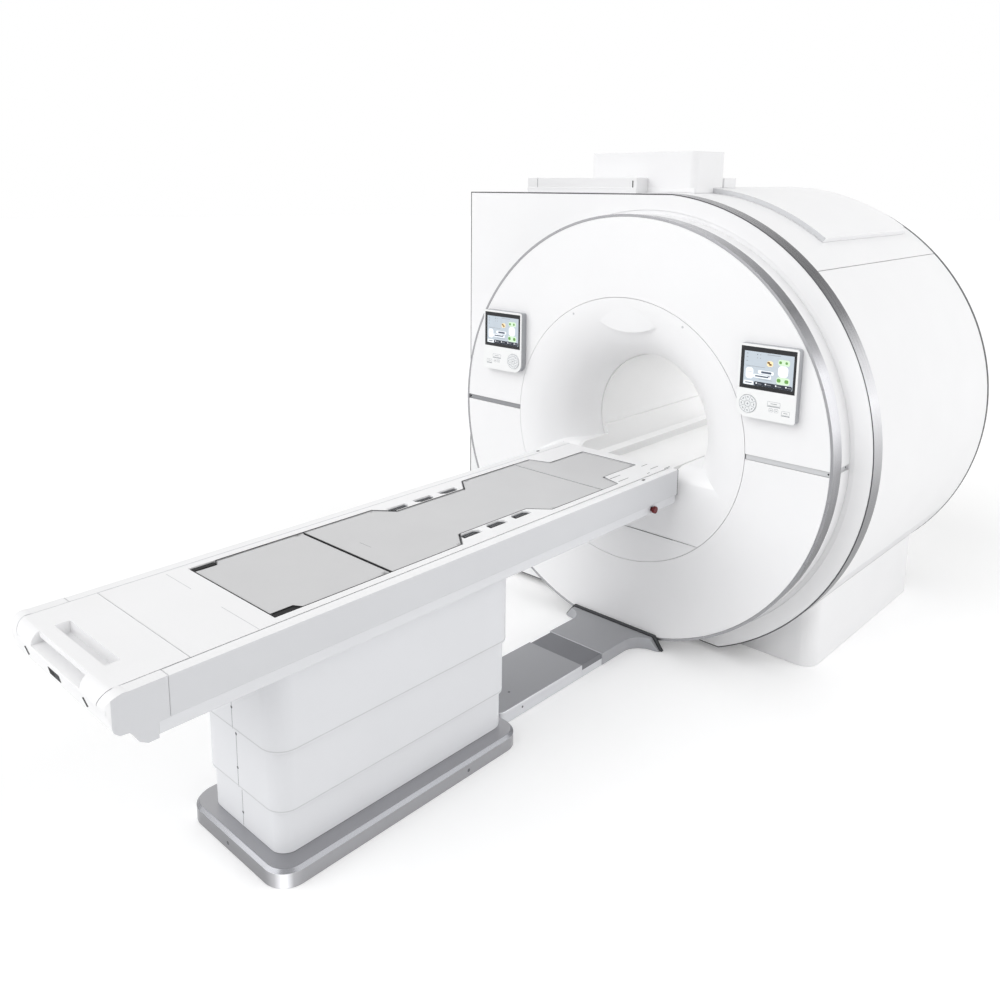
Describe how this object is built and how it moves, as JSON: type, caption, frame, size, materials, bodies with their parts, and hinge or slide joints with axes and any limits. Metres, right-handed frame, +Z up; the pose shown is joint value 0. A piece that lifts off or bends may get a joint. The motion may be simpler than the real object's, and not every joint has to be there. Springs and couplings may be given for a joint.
{
  "type": "mri scanner",
  "caption": "Closed bore magnetic resonance scanner: round front disc, flared bore, barrel covers and a fixed lifting table whose cradle slides into the bore.",
  "frame": {"origin": "on the floor under the magnet's isocentre", "axes": "+X to the viewer's right when facing the disc, +Y along the bore away from the table, +Z up"},
  "size_m": [2.347, 4.54, 2.405],
  "materials": {
    "cover_white": "smooth moulded cover, satin sheen",
    "plate_white": "smooth paint",
    "silver_trim": "satin anodised",
    "slot_grey": "matte",
    "barrel_grey": "satin moulded cover",
    "under_grey": "matte",
    "top_metal": "smooth paint",
    "liner_white": "matte",
    "vessel_steel": "brushed",
    "coil_resin": "resin filled winding",
    "rf_resin": "glass fibre tube",
    "foot_iron": "painted casting",
    "panel_dark": "matte",
    "panel_white": "gloss",
    "screen_glass": "black glass",
    "key_grey": "satin",
    "base_grey": "satin paint",
    "bridge_grey": "satin paint",
    "strip_dark": "matte",
    "seal_rubber": "matte",
    "column_grey": "satin paint",
    "stage_steel": "brushed",
    "table_white": "satin",
    "apron_grey": "satin paint",
    "cradle_white": "gloss",
    "mat_grey": "coated foam",
    "socket_dark": "matte",
    "belt_rubber": "matte",
    "motor_metal": "cast",
    "knob_red": "gloss"
  },
  "bodies": {
    "gantry": {"disc_upper_cover": "cover_white", "disc_lower_cover": "cover_white", "disc_trim_ring": "silver_trim", "slot_strips": "slot_grey", "bore_funnel": "cover_white", "funnel_lower_panel": "cover_white", "front_plate": "plate_white", "front_plate_trim": "silver_trim", "barrel_top_cover": "barrel_grey", "right_side_cover": "barrel_grey", "left_side_cover": "barrel_grey", "underside_covers": "under_grey", "top_cap": "barrel_grey", "rear_trim_ring": "silver_trim", "rear_cover": "cover_white", "rear_funnel": "cover_white", "left_housing": "top_metal", "service_tray": "top_metal", "cold_head_cover": "top_metal", "pedestal_cover": "barrel_grey", "magnet_feet": "foot_iron", "bore_liner": "liner_white", "bore_bridge": "liner_white", "vacuum_vessel": "vessel_steel", "helium_vessel": "vessel_steel", "rf_body_coil": "rf_resin", "gradient_coil": "coil_resin", "cold_head": "vessel_steel", "panel_housings": "panel_dark", "panel_fascias": "panel_white", "panel_screens": "screen_glass", "base_plate": "base_grey", "floor_bridge": "bridge_grey", "bridge_mid_strip": "strip_dark", "dock_end": "bridge_grey", "dock_seal": "seal_rubber", "column_lower_cover": "column_grey", "lift_outer_stage": "stage_steel"},
    "lift_middle": {"column_middle_cover": "column_grey", "lift_middle_stage": "stage_steel"},
    "table": {"column_upper_cover": "column_grey", "lift_inner_stage": "stage_steel", "table_frame": "apron_grey", "side_rails": "table_white", "table_end_cap": "table_white", "drive_motor": "motor_metal", "drive_belt": "belt_rubber"},
    "cradle": {"cradle_board": "cradle_white", "cradle_end_cap": "cradle_white", "foot_mat": "mat_grey", "body_mat": "mat_grey", "head_mat": "mat_grey", "coil_sockets": "socket_dark"},
    "drive_wheel": {"drive_pulley": "motor_metal"},
    "idler_wheel": {"idler_pulley": "motor_metal"},
    "stop_knob": {"emergency_knob": "knob_red"},
    "right_ring": {"right_ring_pad": "key_grey"},
    "right_key": {"right_centre_key": "key_grey"},
    "left_ring": {"left_ring_pad": "key_grey"},
    "left_key": {"left_centre_key": "key_grey"}
  },
  "joints": [
    {"name": "table_lift", "type": "slide", "parent": "gantry", "child": "table", "axis": [0, 0, 1], "range_m": [-0.37, 0]},
    {"name": "middle_cover_follow", "type": "slide", "parent": "gantry", "child": "lift_middle", "axis": [0, 0, 1], "range_m": [-0.152, 0]},
    {"name": "cradle_slide", "type": "slide", "parent": "table", "child": "cradle", "axis": [0, 1, 0], "range_m": [0, 1.9]},
    {"name": "drive_wheel_spin", "type": "hinge", "parent": "table", "child": "drive_wheel", "pos_m": [0, -3.33, 0.862], "axis": [1, 0, 0], "range_deg": [-4360, 0]},
    {"name": "idler_wheel_spin", "type": "hinge", "parent": "table", "child": "idler_wheel", "pos_m": [0, -1.08, 0.862], "axis": [1, 0, 0], "range_deg": [-4360, 0]},
    {"name": "stop_knob_press", "type": "slide", "parent": "table", "child": "stop_knob", "axis": [-1, 0, 0], "range_m": [0, 0.004], "stiffness_N_per_m": 900, "springref_m": -0.004},
    {"name": "right_ring_press", "type": "slide", "parent": "gantry", "child": "right_ring", "axis": [0, 1, 0], "range_m": [0, 0.0025], "stiffness_N_per_m": 500, "springref_m": -0.003},
    {"name": "right_key_press", "type": "slide", "parent": "gantry", "child": "right_key", "axis": [0, 1, 0], "range_m": [0, 0.0025], "stiffness_N_per_m": 500, "springref_m": -0.003},
    {"name": "left_ring_press", "type": "slide", "parent": "gantry", "child": "left_ring", "axis": [0, 1, 0], "range_m": [0, 0.0025], "stiffness_N_per_m": 500, "springref_m": -0.003},
    {"name": "left_key_press", "type": "slide", "parent": "gantry", "child": "left_key", "axis": [0, 1, 0], "range_m": [0, 0.0025], "stiffness_N_per_m": 500, "springref_m": -0.003}
  ],
  "couplings": [
    {"joint": "middle_cover_follow", "follows": "table_lift", "ratio": 0.41},
    {"joint": "drive_wheel_spin", "follows": "cradle_slide", "rad_per_m": -40},
    {"joint": "idler_wheel_spin", "follows": "cradle_slide", "rad_per_m": -40}
  ]
}
